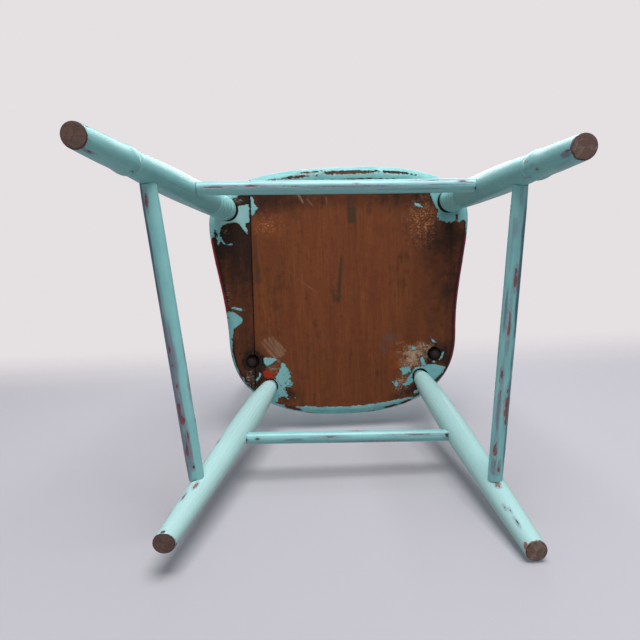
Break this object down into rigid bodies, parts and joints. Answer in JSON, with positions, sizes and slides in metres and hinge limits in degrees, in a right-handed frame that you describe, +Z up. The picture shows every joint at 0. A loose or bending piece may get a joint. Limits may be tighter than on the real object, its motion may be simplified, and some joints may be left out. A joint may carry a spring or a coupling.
{
  "type": "hoop-back kitchen chair",
  "caption": "Old hoop-back wooden kitchen chair with turned front legs, box stretchers and peeling turquoise paint over bare brown wood.",
  "frame": {"origin": "on the floor under the middle of the chair's outer box, the chair standing on its feet", "axes": "+Z up; -Y is the chair's front; -X is left as seen from in front of it"},
  "size_m": [0.499, 0.4864, 0.8488],
  "materials": {
    "seat": "worn turquoise paint above, bare stained brown wood below",
    "turquoise": "peeling turquoise gloss paint over red undercoat and bare wood"
  },
  "bodies": {
    "root": {"seat_board_wide": "seat", "seat_board_narrow": "seat", "leg_front_left": "turquoise", "leg_front_right": "turquoise", "leg_rear_left": "turquoise", "leg_rear_right": "turquoise", "stretcher_front": "turquoise", "stretcher_rear": "turquoise", "stretcher_left": "turquoise", "stretcher_right": "turquoise", "bow": "turquoise", "spindle_1": "turquoise", "spindle_2": "turquoise", "spindle_3": "turquoise", "spindle_4": "turquoise", "spindle_5": "turquoise"}
  },
  "joints": []
}
